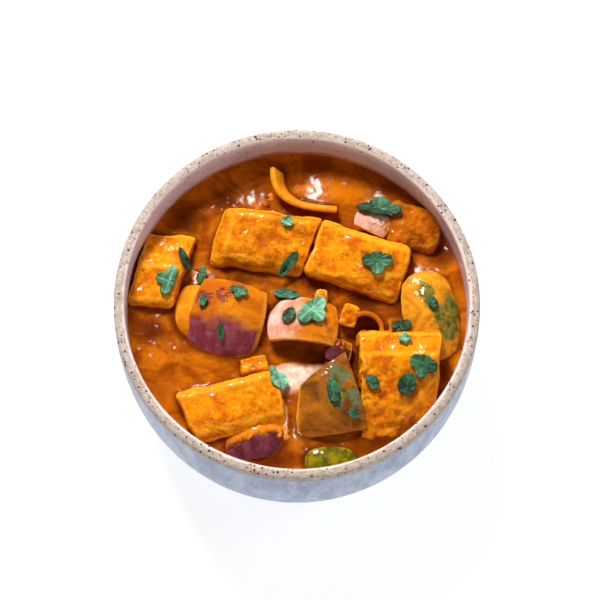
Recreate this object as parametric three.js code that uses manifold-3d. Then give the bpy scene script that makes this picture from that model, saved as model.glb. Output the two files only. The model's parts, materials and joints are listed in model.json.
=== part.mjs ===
// Paneer tikka masala in its stoneware bowl: blocks of paneer, petals of red onion and pieces of green
// pepper stand in a thick tomato gravy, with a little cream and torn coriander leaves on top.
// Millimetres, +Z up. The origin is the centre of the foot ring, on the surface that the bowl stands on.
// -Y is the side that the eater sits at.
import * as THREE from "three";
import { mergeVertices } from "three/addons/utils/BufferGeometryUtils.js";
import Module from "manifold-3d";

const wasm = await Module();
wasm.setup();

// ---------- driving sizes ----------

const GAP = 0.3; // between neighbours that touch
const SIDES = 48; // facets round the bowl and the gravy

const BOWL_HEIGHT = 70;
const RIM_RADIUS = 70;
const RIM_WIDTH = 4.2;
const WALL_WIDTH = 5.2; // below the rim, where the wall is thickest
const WALL_DEPTH = 60; // the part of the outside that follows one curve
const WALL_SWELL = 3.466; // how far that curve leans out, and how far it draws in again
const WALL_DRAW_IN = 8.375;
const WALL_DRAW_POWER = 3.106;
const FOOT_RADIUS = 46;
const FOOT_WIDTH = 6;
const FOOT_HEIGHT = 3;
const FOOT_RECESS = 2;
const FLOOR_RADIUS = 42; // the flat inside, where it starts to curve up into the wall
const FLOOR_HEIGHT = 8;
const FLOOR_CURVE_HEIGHT = 22;

const GRAVY_LEVEL = 53.5;
const GRAVY_RINGS = 10;

const SLOPE_EASE = 1.5; // how softly a block's top turns down

const LEAF_THICKNESS = 0.5;
const CREAM_THICKNESS = 0.9;

// ---------- finishes ----------

function finish(color, roughness) {
  return new THREE.MeshStandardMaterial({ color, roughness, metalness: 0 });
}

const STONEWARE = finish(0xc8b8ae, 0.45);
const GRAVY = finish(0xc4660f, 0.3);
const PANEER = finish(0xf09a20, 0.4);
const ONION = finish(0x8c4455, 0.3);
const COATED_ONION = finish(0xdc7a1c, 0.3);
const PEPPER = finish(0x7d7420, 0.3);
const CREAM = finish(0xf0d0b4, 0.4);
const CORIANDER = finish(0x3f7a4c, 0.5);

// ---------- solids and cuts ----------

// A closed geometry as a solid that can be cut, moved by a matrix on the way.
function solidOf(geometry, place = new THREE.Matrix4()) {
  const bare = geometry.clone();
  bare.deleteAttribute("normal");
  bare.deleteAttribute("uv");
  bare.applyMatrix4(place);
  const merged = mergeVertices(bare, 1e-4);
  return new wasm.Manifold(
    new wasm.Mesh({
      numProp: 3,
      vertProperties: merged.attributes.position.array,
      triVerts: new Uint32Array(merged.index.array),
    }),
  );
}

// The largest body of a solid, as a geometry with flat faces.
function geometryOf(solid, place = new THREE.Matrix4()) {
  const bodies = solid.decompose();
  const largest = bodies.reduce((a, b) => (a.volume() > b.volume() ? a : b));
  const mesh = largest.getMesh();
  const geometry = new THREE.BufferGeometry();
  geometry.setAttribute("position", new THREE.BufferAttribute(mesh.vertProperties, 3));
  geometry.setIndex(new THREE.BufferAttribute(mesh.triVerts, 1));
  geometry.applyMatrix4(place);
  geometry.computeVertexNormals();
  return geometry;
}

const dish = new THREE.Group();
const served = []; // every piece so far, as it is and grown by the gap

function addMesh(name, geometry, material, place) {
  const mesh = new THREE.Mesh(geometry, material);
  mesh.name = name;
  place.decompose(mesh.position, mesh.quaternion, mesh.scale);
  dish.add(mesh);
}

// A place and a turn in degrees: roll about Y, then pitch about X (front down), then yaw about Z.
function placeOf([x, y, z], [yaw, pitch, roll]) {
  const [rx, ry, rz] = [pitch, roll, yaw].map((degrees) => THREE.MathUtils.degToRad(degrees));
  const turn = new THREE.Matrix4().makeRotationFromEuler(new THREE.Euler(rx, ry, rz, "ZXY"));
  return turn.setPosition(x, y, z);
}

// Puts a piece in the dish, kept inside the bowl and cut back to a gap from each piece that it
// would cross. A shape is a function that gives the piece's geometry, grown on all sides.
function serve(name, shape, material, at = [0, 0, 0], turn = [0, 0, 0]) {
  const place = placeOf(at, turn);
  let body = solidOf(shape(0), place).intersect(bowlRoom);
  for (const neighbour of served) {
    if (!body.intersect(neighbour.grown).isEmpty()) body = body.subtract(neighbour.grown);
  }
  addMesh(name, geometryOf(body, place.clone().invert()), material, place);
  served.push({ name, body, grown: solidOf(shape(GAP), place) });
}

// ---------- shapes ----------

// Smooth unevenness, between -1 and 1, with waves about one wavelength long.
function unevenness(x, y, z, wavelength, seed) {
  const k = (2 * Math.PI) / wavelength;
  const a = Math.sin(k * x + 1.7 * seed + Math.sin(0.7 * k * y + seed));
  const b = Math.sin(1.1 * k * y + 2.3 * seed + Math.sin(0.6 * k * z - seed));
  const c = Math.sin(0.9 * k * z + 3.1 * seed + Math.sin(0.8 * k * x + 2 * seed));
  return (a + b + c) / 3;
}

// A block cut by hand: rounded edges and faces that bulge and dip. Its top sinks past each line in
// slopes, given as a direction in degrees, a distance from the middle and a rate. Its front end can be
// narrower than the back and lean sideways.
function block(cut) {
  const { size, round = 2.4, narrow = 0, lean = 0, bumps = 0.5, seed = 1, cells = [5, 4, 3] } = cut;
  const { slopes = [] } = cut;
  return (gap) => {
    const geometry = new THREE.BoxGeometry(2, 2, 2, ...cells);
    const at = geometry.attributes.position;
    for (let i = 0; i < at.count; i++) {
      const core = [];
      const out = [];
      [at.getX(i), at.getY(i), at.getZ(i)].forEach((q, axis) => {
        const half = size[axis] / 2 - round;
        const inner = 1 - 2 / cells[axis];
        const onFace = Math.abs(q) > 1 - 1e-6;
        core.push(onFace ? Math.sign(q) * half : (half * q) / inner);
        out.push(onFace ? Math.sign(q) : 0);
      });
      const normal = new THREE.Vector3(...out).normalize();
      const point = new THREE.Vector3(...core).addScaledVector(normal, round);
      const bump = bumps * unevenness(point.x, point.y, point.z, 15, seed);
      point.addScaledVector(normal, bump + gap);
      const front = -point.y / size[1];
      for (const [toward, start, rate] of slopes) {
        const way = THREE.MathUtils.degToRad(toward);
        const past = point.x * Math.cos(way) + point.y * Math.sin(way) - start;
        const beyond = (past + Math.hypot(past, SLOPE_EASE)) / 2;
        point.z -= rate * beyond * (point.z / size[2] + 0.5);
      }
      point.x = point.x * (1 - narrow * front) + lean * front;
      at.setXYZ(i, point.x, point.y, point.z);
    }
    return geometry;
  };
}

// A closed sheet on both sides of a surface: its two faces have the same triangles.
// surface(u, v) gives a point and thickness(u, v) a width, with u and v from -1 to 1.
function sheet(surface, thickness, [across, along]) {
  const vertices = [];
  const triangles = [];
  const step = 1e-3;
  for (const side of [1, -1]) {
    for (let j = 0; j <= along; j++) {
      for (let i = 0; i <= across; i++) {
        const u = (2 * i) / across - 1;
        const v = (2 * j) / along - 1;
        const du = surface(u + step, v).sub(surface(u - step, v));
        const dv = surface(u, v + step).sub(surface(u, v - step));
        const normal = du.cross(dv).normalize();
        const point = surface(u, v).addScaledVector(normal, (side * thickness(u, v)) / 2);
        vertices.push(point.x, point.y, point.z);
      }
    }
  }
  const row = across + 1;
  const layer = row * (along + 1);
  for (let j = 0; j < along; j++) {
    for (let i = 0; i < across; i++) {
      const a = j * row + i;
      const corners = [a, a + 1, a + row + 1, a + row];
      const [p, q, r, s] = corners;
      triangles.push(p, q, r, p, r, s);
      triangles.push(p + layer, r + layer, q + layer, p + layer, s + layer, r + layer);
    }
  }
  const rim = [];
  for (let i = 0; i < across; i++) rim.push(i);
  for (let j = 0; j < along; j++) rim.push(j * row + across);
  for (let i = across; i > 0; i--) rim.push(along * row + i);
  for (let j = along; j > 0; j--) rim.push(j * row);
  rim.forEach((a, k) => {
    const b = rim[(k + 1) % rim.length];
    triangles.push(a, a + layer, b + layer, a, b + layer, b);
  });
  const geometry = new THREE.BufferGeometry();
  geometry.setAttribute("position", new THREE.Float32BufferAttribute(vertices, 3));
  geometry.setIndex(triangles);
  return geometry;
}

// A piece of a petal or of a pepper's wall: a rounded rectangle bent into an arc along each side.
// It can be narrower at the back, and its back edge can run askew.
function bentPiece(cut) {
  const { size, bend, thickness, corner = 0.5, curl = 0, seed = 1, cells = [5, 5] } = cut;
  const { taper = 0, skew = 0 } = cut;
  return (gap) => {
    const [width, length] = size.map((s) => s + 2 * gap);
    const [across, along] = bend.map((degrees) => THREE.MathUtils.degToRad(degrees));
    const surface = (u, v) => {
      const a = (across / 2) * u * Math.sqrt(1 - (corner * v * v) / 2);
      const b = (along / 2) * v * Math.sqrt(1 - (corner * u * u) / 2);
      const x = (width / across) * Math.sin(a);
      const y = (length / along) * Math.sin(b);
      const sag = (width / across) * (1 - Math.cos(a)) + (length / along) * (1 - Math.cos(b));
      const z = -sag + curl * u * v + 0.5 * unevenness(x, y, 0, 16, seed);
      return new THREE.Vector3(x * (1 - taper * v), y + (skew * u * (v + 1)) / 2, z);
    };
    return sheet(surface, () => thickness + 2 * gap, cells);
  };
}

// A path gives a point and the direction to the right of it, with u from -1 to 1.
function arcPath(radius, arc) {
  const half = THREE.MathUtils.degToRad(arc) / 2;
  const along = (u) => {
    const out = new THREE.Vector2(Math.cos(half * u), Math.sin(half * u));
    return { point: out.clone().multiplyScalar(radius), out };
  };
  return { length: 2 * half * radius, along };
}

function curvedPath(...controls) {
  const curve = new THREE.CubicBezierCurve(...controls.map(([x, y]) => new THREE.Vector2(x, y)));
  const along = (u) => {
    const t = (u + 1) / 2;
    const forward = curve.getTangent(THREE.MathUtils.clamp(t, 0, 1));
    return { point: curve.getPoint(t), out: new THREE.Vector2(forward.y, -forward.x) };
  };
  return { length: curve.getLength(), along };
}

// A strip that stands on its edge along a path, as a slice of an onion's layer does. Its top leans out.
function standingStrip({ path, height, thickness, lean, cells = [8, 1] }) {
  return (gap) => {
    const longer = 1 + (2 * gap) / path.length;
    const surface = (u, v) => {
      const { point, out } = path.along(longer * u);
      point.addScaledVector(out, lean * v);
      return new THREE.Vector3(point.x, point.y, (v * (height + 2 * gap)) / 2);
    };
    return sheet(surface, () => thickness + 2 * gap, cells);
  };
}

// ---------- the bowl ----------

// Outside radius of the wall at a depth below the rim: it leans out a little, then draws in.
function outerRadius(depth) {
  const t = depth / WALL_DEPTH;
  return RIM_RADIUS + WALL_SWELL * t - WALL_DRAW_IN * t ** WALL_DRAW_POWER;
}

function innerRadius(depth) {
  const thickening = Math.min(1, depth / (0.4 * WALL_DEPTH));
  return outerRadius(depth) - RIM_WIDTH - (WALL_WIDTH - RIM_WIDTH) * thickening;
}

// The inside from the middle of the floor to just below the rim, as [radius, height] pairs,
// or a smaller copy of it that lies a gap inside.
function insideProfile(gap, top, steps) {
  const profile = [[0, FLOOR_HEIGHT + gap]];
  const foot = innerRadius(BOWL_HEIGHT - FLOOR_CURVE_HEIGHT);
  for (let i = 0; i <= 3; i++) {
    const angle = ((i / 4) * Math.PI) / 2;
    const radius = FLOOR_RADIUS + (foot - FLOOR_RADIUS) * Math.sin(angle);
    const height = FLOOR_CURVE_HEIGHT - (FLOOR_CURVE_HEIGHT - FLOOR_HEIGHT) * Math.cos(angle);
    profile.push([radius - gap * Math.sin(angle), height + gap * Math.cos(angle)]);
  }
  for (let i = 0; i <= steps; i++) {
    const height = FLOOR_CURVE_HEIGHT + ((top - FLOOR_CURVE_HEIGHT) * i) / steps;
    profile.push([innerRadius(BOWL_HEIGHT - height) - gap, height]);
  }
  return profile;
}

function turned(profile) {
  const points = profile.map(([radius, height]) => new THREE.Vector2(radius, height));
  return new THREE.LatheGeometry(points, SIDES).rotateX(Math.PI / 2);
}

function bowlShape() {
  const profile = [
    [0, FOOT_RECESS],
    [FOOT_RADIUS - FOOT_WIDTH - 1, FOOT_RECESS],
    [FOOT_RADIUS - FOOT_WIDTH, 0],
    [FOOT_RADIUS - 0.8, 0],
    [FOOT_RADIUS, 0.8],
    [FOOT_RADIUS + 0.2, FOOT_HEIGHT],
  ];
  const low = BOWL_HEIGHT - WALL_DEPTH;
  const belly = outerRadius(WALL_DEPTH);
  for (let i = 1; i <= 3; i++) {
    const angle = ((i / 4) * Math.PI) / 2;
    const reach = Math.sin(angle);
    const rise = 1 - Math.cos(angle);
    profile.push([FOOT_RADIUS + (belly - FOOT_RADIUS) * reach, FOOT_HEIGHT + (low - FOOT_HEIGHT) * rise]);
  }
  for (const depth of [60, 48, 34, 23, 2]) profile.push([outerRadius(depth), BOWL_HEIGHT - depth]);
  profile.push([RIM_RADIUS - 0.7, BOWL_HEIGHT - 0.6]);
  profile.push([RIM_RADIUS - 1.9, BOWL_HEIGHT]);
  profile.push([RIM_RADIUS - RIM_WIDTH + 1.2, BOWL_HEIGHT - 0.1]);
  profile.push([RIM_RADIUS - RIM_WIDTH + 0.2, BOWL_HEIGHT - 1]);
  profile.push(...insideProfile(0, BOWL_HEIGHT - 5, 3).reverse());
  return turned(profile);
}

addMesh("bowl", geometryOf(solidOf(bowlShape())), STONEWARE, new THREE.Matrix4());

// The room inside the bowl, a gap away from its wall, and open to above the rim.
const ABOVE_RIM = BOWL_HEIGHT + 20;
const roomProfile = insideProfile(GAP, BOWL_HEIGHT - 5, 3);
roomProfile.push([roomProfile.at(-1)[0], ABOVE_RIM], [0, ABOVE_RIM]);
const bowlRoom = solidOf(turned(roomProfile));

// ---------- paneer ----------

const PANEER_BLOCKS = [
  {
    name: "back_left",
    size: [38, 24, 22],
    at: [-13, 28, 52],
    turn: [-8, 7, 0],
    narrow: 0.06,
    lean: -4,
    slopes: [
      [180, 13.5, 1],
      [-90, 8, 1],
      [90, 9, 0.6],
    ],
    seed: 1,
  },
  {
    name: "back_right",
    size: [37, 23, 22],
    at: [24, 19.6, 52],
    turn: [-18, 5, 3],
    narrow: -0.06,
    slopes: [
      [-72, 6.2, 0.55],
      [90, 9, 0.5],
    ],
    seed: 2,
  },
  {
    name: "left",
    size: [18.5, 30, 20],
    at: [-52.5, 16.5, 51],
    turn: [-6, 7, -3],
    narrow: 0.1,
    lean: -5,
    slopes: [
      [90, 1, 0.4],
      [-90, 12.5, 0.8],
    ],
    seed: 3,
  },
  {
    name: "front_left",
    size: [37, 21, 18],
    at: [-24, -38.6, 51.5],
    turn: [14, 7, 0],
    narrow: 0.12,
    lean: 2,
    slopes: [
      [-90, 6.5, 0.9],
      [90, 8.3, 0.6],
    ],
    seed: 4,
  },
  {
    name: "front_right",
    size: [29.5, 41, 20],
    at: [39, -28.8, 51.6],
    turn: [0, 20, 0],
    narrow: 0.14,
    lean: -1,
    slopes: [
      [90, 12.5, 0.7],
      [-40, 8, 0.35],
    ],
    cells: [5, 6, 3],
    seed: 5,
  },
  {
    name: "far_right",
    size: [23, 18, 17],
    at: [44.5, 34, 51.5],
    turn: [-12, 0, 4],
    round: 5,
    bumps: 1,
    seed: 6,
  },
];

const PANEER_CRUMBS = [
  { name: "front", size: [10, 6, 5], at: [-16.5, -22, 55.5], turn: [10, 0, 0], seed: 7 },
  { name: "centre", size: [6.5, 8, 7], at: [20.5, -3, 57], turn: [-20, 10, 0], seed: 8 },
  { name: "back", size: [4, 7, 8], at: [9.5, 4, 55.5], turn: [-4, 5, 0], seed: 9 },
  { name: "left", size: [4.5, 6, 5], at: [-35, 8.5, 55], turn: [20, 0, 0], seed: 10 },
];

for (const { name, at, turn, ...cut } of PANEER_BLOCKS) {
  serve("paneer_" + name, block(cut), PANEER, at, turn);
}

for (const { name, at, turn, ...cut } of PANEER_CRUMBS) {
  const crumb = { ...cut, round: 1.2, bumps: 0.7, cells: [3, 3, 3] };
  serve("paneer_crumb_" + name, block(crumb), PANEER, at, turn);
}

// ---------- onion ----------

const ONION_PETALS = [
  { name: "petal_left", size: [30, 31], bend: [75, 80], at: [-27, -5, 62], turn: [-14, 14, 0], seed: 1 },
  {
    name: "layer_left",
    size: [27, 26],
    bend: [75, 80],
    at: [-37, -3.5, 58],
    turn: [-8, 14, -10],
    coated: true,
    seed: 2,
  },
  {
    name: "petal_centre",
    size: [30, 20],
    bend: [100, 45],
    at: [2.5, -4.6, 61.5],
    turn: [-4, -16, 0],
    seed: 3,
  },
  {
    name: "petal_front",
    size: [27, 14],
    bend: [60, 70],
    at: [-14.5, -51.5, 56],
    turn: [12, 6, 0],
    seed: 4,
  },
  {
    name: "sliver_back",
    size: [14, 9],
    bend: [40, 40],
    at: [29.5, 34.5, 61],
    turn: [-22, -8, 6],
    cells: [4, 3],
    seed: 5,
  },
  {
    name: "sliver_centre",
    size: [10, 9],
    bend: [50, 40],
    at: [16, -17, 57.5],
    turn: [-15, 5, 5],
    cells: [4, 4],
    seed: 6,
  },
];
const ONION_THICKNESS = 2.1;

for (const { name, at, turn, coated, ...cut } of ONION_PETALS) {
  const petal = { ...cut, thickness: ONION_THICKNESS, curl: 0.6 };
  serve("onion_" + name, bentPiece(petal), coated ? COATED_ONION : ONION, at, turn);
}

const ONION_STRIPS = [
  {
    name: "petal_back",
    path: curvedPath([-7.5, 58], [-8, 46], [-1, 43], [16, 42]),
    height: 9,
    thickness: 2.2,
    lean: 2.4,
    at: [0, 0, 55.5],
    turn: [0, 0, 0],
    cells: [12, 2],
    coated: true,
  },
  {
    name: "ring_centre",
    path: arcPath(7, 170),
    height: 8,
    thickness: 1.8,
    lean: -0.8,
    at: [26, -9, 57],
    turn: [35, 6, 0],
  },
  {
    name: "ring_right",
    path: arcPath(11, 50),
    height: 9,
    thickness: 1.4,
    lean: -0.6,
    at: [25.5, -8, 56],
    turn: [-12, 0, 0],
  },
];

for (const { name, at, turn, coated, ...cut } of ONION_STRIPS) {
  serve("onion_" + name, standingStrip(cut), coated ? COATED_ONION : ONION, at, turn);
}

// ---------- green pepper ----------

const PEPPER_PIECES = [
  { name: "right", size: [22, 36], bend: [95, 60], at: [52, -3, 60], turn: [10, 8, 6], corner: 0.9, seed: 1 },
  {
    name: "front",
    size: [24, 26],
    bend: [60, 50],
    at: [11.5, -37.5, 60.5],
    turn: [8, 10, -8],
    corner: 0.15,
    taper: 0.2,
    skew: 5.5,
    seed: 2,
  },
  {
    name: "sliver",
    size: [20, 10],
    bend: [50, 50],
    at: [12.5, -59.5, 54.5],
    turn: [2, 4, 0],
    corner: 0.8,
    cells: [5, 3],
    seed: 3,
  },
];
const PEPPER_WALL = 3.6;

for (const { name, at, turn, ...cut } of PEPPER_PIECES) {
  const piece = { ...cut, thickness: PEPPER_WALL, curl: 0.4 };
  serve("pepper_" + name, bentPiece(piece), PEPPER, at, turn);
}

// ---------- gravy ----------

// Where the gravy is heaped up or sinks: a place, how far it reaches and how much it rises.
const GRAVY_MOUNDS = [
  { at: [-40, 38], reach: 12, rise: 0.6 },
  { at: [12, 48], reach: 9, rise: 2.2 },
  { at: [-1, 53], reach: 6, rise: -1.5 },
  { at: [40, 40], reach: 14, rise: 2 },
  { at: [57, 14], reach: 9, rise: 3 },
  { at: [-48, -22], reach: 12, rise: 1.6 },
  { at: [0, -52], reach: 12, rise: 1.2 },
  { at: [8, -12], reach: 9, rise: -3 },
  { at: [26, -26], reach: 6, rise: -3 },
  { at: [58, 27], reach: 6, rise: -2.5 },
  { at: [0, 10], reach: 25, rise: 1.5 },
];

function gravyHeight(x, y) {
  const mounds = GRAVY_MOUNDS.map(({ at: [mx, my], reach, rise }) => {
    const away = ((x - mx) ** 2 + (y - my) ** 2) / reach ** 2;
    return rise * Math.exp(-away);
  });
  const heap = mounds.reduce((a, b) => a + b, 0);
  return GRAVY_LEVEL + heap + 0.5 * unevenness(x, y, 0, 17, 4);
}

// The gravy's top on a plain drum that is wider and deeper than the room inside the bowl.
function gravyShape() {
  const edge = RIM_RADIUS - 2;
  const profile = [
    [0, 0],
    [edge, 0],
  ];
  for (let i = GRAVY_RINGS; i >= 0; i--) profile.push([(edge * i) / GRAVY_RINGS, GRAVY_LEVEL]);
  const geometry = turned(profile);
  const at = geometry.attributes.position;
  for (let i = 0; i < at.count; i++) {
    if (at.getZ(i) > GRAVY_LEVEL / 2) at.setZ(i, gravyHeight(at.getX(i), at.getY(i)));
  }
  return geometry;
}

serve("gravy", gravyShape, GRAVY);

// ---------- cream and coriander, laid on the food ----------

const DOWN = new THREE.Vector3(0, 0, -1);

// Heights of the food below any point, from the pieces in the dish.
const food = served.map(({ body }) => new THREE.Mesh(geometryOf(body)));
const looking = new THREE.Raycaster();

function foodHeight(x, y) {
  looking.set(new THREE.Vector3(x, y, ABOVE_RIM), DOWN);
  const [highest] = looking.intersectObjects(food);
  return highest ? highest.point.z : GRAVY_LEVEL;
}

// Height that clears the food for a short way round a point.
function clearHeight(x, y) {
  const around = 0.8;
  const angles = [0, 1, 2, 3].map((quarter) => (quarter * Math.PI) / 2);
  const heights = angles.map((a) => foodHeight(x + around * Math.cos(a), y + around * Math.sin(a)));
  return Math.max(foodHeight(x, y), ...heights);
}

// A thin wavy sheet over heights: a middle point and two rings, the outer one at outline(angle).
// It follows what it lies on, but it is too stiff for steep slopes and bridges hollows.
function drapedShape({ outline, at: [cx, cy], turn, thickness, sides, heightAt, wave, sag }) {
  const steepest = 0.3;
  const spin = THREE.MathUtils.degToRad(turn);
  const points = [[0, 0]];
  for (const ring of [0.55, 1]) {
    for (let i = 0; i < sides; i++) {
      const [x, y] = outline((2 * Math.PI * i) / sides).map((c) => c * ring);
      points.push([x * Math.cos(spin) - y * Math.sin(spin), x * Math.sin(spin) + y * Math.cos(spin)]);
    }
  }
  const heights = points.map(([x, y]) => heightAt(cx + x, cy + y));
  const mean = heights.reduce((a, b) => a + b, 0) / heights.length;
  const slope = [0, 1].map((axis) => {
    const rise = points.reduce((sum, p, i) => sum + p[axis] * (heights[i] - mean), 0);
    const run = points.reduce((sum, p) => sum + p[axis] ** 2, 0);
    return THREE.MathUtils.clamp(rise / run, -steepest, steepest);
  });
  const middles = points.map(([x, y], i) => {
    const flat = mean + slope[0] * x + slope[1] * y - sag;
    const ripple = i > sides ? wave * (1 + Math.sin(3 * i)) : 0;
    return Math.max(heights[i], flat) + GAP + thickness / 2 + ripple;
  });
  const vertices = [];
  for (const side of [1, -1]) {
    points.forEach(([x, y], i) => vertices.push(x, y, middles[i] + (side * thickness) / 2));
  }
  const triangles = [];
  const layer = points.length;
  const bothFaces = (a, b, c) => triangles.push(a, b, c, a + layer, c + layer, b + layer);
  for (let i = 0; i < sides; i++) {
    const next = (i + 1) % sides;
    const [inner, innerNext] = [1 + i, 1 + next];
    const [outer, outerNext] = [inner + sides, innerNext + sides];
    bothFaces(0, inner, innerNext);
    bothFaces(inner, outer, outerNext);
    bothFaces(inner, outerNext, innerNext);
    triangles.push(outer, outer + layer, outerNext + layer, outer, outerNext + layer, outerNext);
  }
  const geometry = new THREE.BufferGeometry();
  geometry.setAttribute("position", new THREE.Float32BufferAttribute(vertices, 3));
  geometry.setIndex(triangles);
  return geometry;
}

// Lays a sheet in the dish and lifts it until it touches nothing that it isn't cut by.
function lay(name, sheetSizes, material, cutters = []) {
  const lift = 0.1;
  const [cx, cy] = sheetSizes.at;
  const geometry = drapedShape(sheetSizes);
  let height = 0;
  let body;
  do {
    height += lift;
    body = solidOf(geometry, new THREE.Matrix4().makeTranslation(cx, cy, height));
    for (const cutter of cutters) body = body.subtract(cutter.grown);
  } while (served.some((other) => !body.intersect(other.body).isEmpty()));
  const place = new THREE.Matrix4().makeTranslation(cx, cy, height);
  addMesh(name, geometryOf(body, place.clone().invert()), material, place);
  served.push({ name, body });
}

const CREAM_POOLS = [
  { name: "pool", size: [27, 13], at: [-1, -26.5], turn: 12, sides: 18 },
  { name: "trail", size: [3, 17], at: [-4.5, -43], turn: 4, sides: 10 },
];
const aroundCream = served.filter(({ name }) => name !== "gravy");

for (const { name, size, ...laid } of CREAM_POOLS) {
  const edge = (angle) => 1 + 0.12 * Math.sin(3 * angle + 1) + 0.07 * Math.sin(5 * angle);
  const outline = (a) => [(size[0] / 2) * edge(a) * Math.cos(a), (size[1] / 2) * edge(a) * Math.sin(a)];
  const cream = { ...laid, outline, thickness: CREAM_THICKNESS, heightAt: gravyHeight, wave: 0, sag: 1 };
  lay("cream_" + name, cream, CREAM, aroundCream);
}

// Outline of a coriander leaflet: one round lobe, or three that spread from a narrow base.
function leafOutline({ size: [width, length], lobes, notch = 0.3 }) {
  const between = 0.47 * Math.PI; // angle from one lobe to the next
  return (angle) => {
    const fromTip = Math.abs(Math.atan2(Math.sin(angle - Math.PI / 2), Math.cos(angle - Math.PI / 2)));
    const fromLobe = Math.abs(fromTip - (fromTip > between / 2 ? between : 0));
    const dip = Math.min(fromLobe / (between / 2), 1.15) ** 3;
    const reach = lobes > 1 ? 1 - notch * dip : 1 - 0.2 * (fromTip / Math.PI) ** 2;
    return [(width / 2) * reach * Math.cos(angle), (length / 2) * reach * Math.sin(angle)];
  };
}

const CORIANDER_LEAVES = [
  { size: [18, 12], lobes: 3, at: [32, 39.5], turn: -8 },
  { size: [12, 12], lobes: 3, at: [31, 18], turn: 180 },
  { size: [14, 13], lobes: 3, at: [5.5, -1.8], turn: 227 },
  { size: [11, 5], lobes: 1, at: [-4, 6], turn: -12 },
  { size: [4, 12.5], lobes: 1, at: [-3.6, 16.5], turn: -38 },
  { size: [12, 11], lobes: 3, at: [-49, 10], turn: 70, notch: 0.5 },
  { size: [3.5, 10], lobes: 1, at: [-43.5, 19], turn: 22 },
  { size: [3.6, 9], lobes: 1, at: [-37, 13.5], turn: -12 },
  { size: [7, 7], lobes: 3, at: [-22, 5.5], turn: 160 },
  { size: [3.6, 5.4], lobes: 1, at: [-36, 1.5], turn: -15 },
  { size: [2.8, 6.8], lobes: 1, at: [-29, -11], turn: 0 },
  { size: [6.5, 13], lobes: 3, at: [-6.5, -29], turn: 35 },
  { size: [11, 12], lobes: 3, at: [48, -24], turn: 160 },
  { size: [7.5, 9.5], lobes: 1, at: [41.5, -32], turn: -20 },
  { size: [5, 6], lobes: 3, at: [41, -14.5], turn: 0 },
  { size: [6.5, 5], lobes: 1, at: [28.5, -31], turn: -45 },
  { size: [8.5, 5], lobes: 1, at: [40, -7.5], turn: 10 },
  { size: [5, 6], lobes: 3, at: [-4, 33], turn: -30 },
  { size: [5, 7.6], lobes: 1, at: [-3.2, -4.5], turn: -30 },
  { size: [5, 10.5], lobes: 1, at: [13.8, -34.8], turn: 12 },
  { size: [4.3, 6], lobes: 1, at: [52, 0.5], turn: 25 },
  { size: [4, 5], lobes: 1, at: [21.5, -43], turn: 20 },
];

CORIANDER_LEAVES.forEach(({ size, lobes, notch, at, turn }, i) => {
  const name = "coriander_" + String(i + 1).padStart(2, "0");
  const outline = leafOutline({ size, lobes, notch });
  const sides = lobes > 1 ? 16 : 8;
  const lying = { at, turn, heightAt: clearHeight, sag: 0.5 };
  const leaf = { ...lying, outline, sides, thickness: LEAF_THICKNESS, wave: 0.2 };
  lay(name, leaf, CORIANDER);
});

export default dish;
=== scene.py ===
# Paneer tikka masala in its stoneware bowl. Sizes are in millimetres and turned to metres by MM.
import json
import math
import random

import bpy
import numpy as np
from mathutils import Matrix, Vector
from mathutils.bvhtree import BVHTree

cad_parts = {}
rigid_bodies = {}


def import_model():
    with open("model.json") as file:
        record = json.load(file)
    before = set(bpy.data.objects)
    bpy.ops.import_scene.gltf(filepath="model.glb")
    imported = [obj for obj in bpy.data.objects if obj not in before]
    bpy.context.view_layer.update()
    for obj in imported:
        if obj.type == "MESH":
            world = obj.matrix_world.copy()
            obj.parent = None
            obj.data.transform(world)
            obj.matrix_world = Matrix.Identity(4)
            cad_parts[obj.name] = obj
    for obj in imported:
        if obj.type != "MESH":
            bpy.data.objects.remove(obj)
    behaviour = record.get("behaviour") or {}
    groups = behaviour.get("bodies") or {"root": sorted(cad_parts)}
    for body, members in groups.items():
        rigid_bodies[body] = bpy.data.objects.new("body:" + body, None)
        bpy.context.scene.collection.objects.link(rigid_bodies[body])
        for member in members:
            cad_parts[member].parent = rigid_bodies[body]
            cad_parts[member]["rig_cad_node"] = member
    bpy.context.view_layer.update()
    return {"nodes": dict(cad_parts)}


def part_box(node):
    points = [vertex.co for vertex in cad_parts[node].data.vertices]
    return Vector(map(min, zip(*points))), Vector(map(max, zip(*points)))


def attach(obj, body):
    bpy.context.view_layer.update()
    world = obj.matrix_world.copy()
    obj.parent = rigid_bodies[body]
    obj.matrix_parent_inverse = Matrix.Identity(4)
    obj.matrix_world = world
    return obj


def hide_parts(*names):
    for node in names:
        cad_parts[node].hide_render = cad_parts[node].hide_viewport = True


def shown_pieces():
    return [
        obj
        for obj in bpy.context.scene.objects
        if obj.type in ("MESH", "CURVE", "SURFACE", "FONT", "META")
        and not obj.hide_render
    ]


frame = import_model()

# ---------- the bowl ----------
# One piece of stoneware, thrown on a wheel and trimmed to a foot ring. Lilac-white glaze lines the inside and
# grey-blue glaze covers the outside. On the rim the glaze has drawn back from sandy clay with iron specks.

MM = 0.001
BOWL_HEIGHT = 70
RIM_RADIUS = 70
RIM_WIDTH = 4.2
WALL_WIDTH = 5.2
WALL_DEPTH = 60
WALL_SWELL = 3.466
WALL_DRAW_IN = 8.375
WALL_DRAW_POWER = 3.106
FOOT_RADIUS = 46
FOOT_WIDTH = 6
FOOT_HEIGHT = 3
FOOT_RECESS = 2
FOOT_CHAMFER = 0.8
FOOT_FLARE = 0.2
RECESS_SLOPE = 1
FLOOR_RADIUS = 42
FLOOR_HEIGHT = 8
FLOOR_CURVE_HEIGHT = 22
LIP_DEPTH = 3.4
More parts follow.
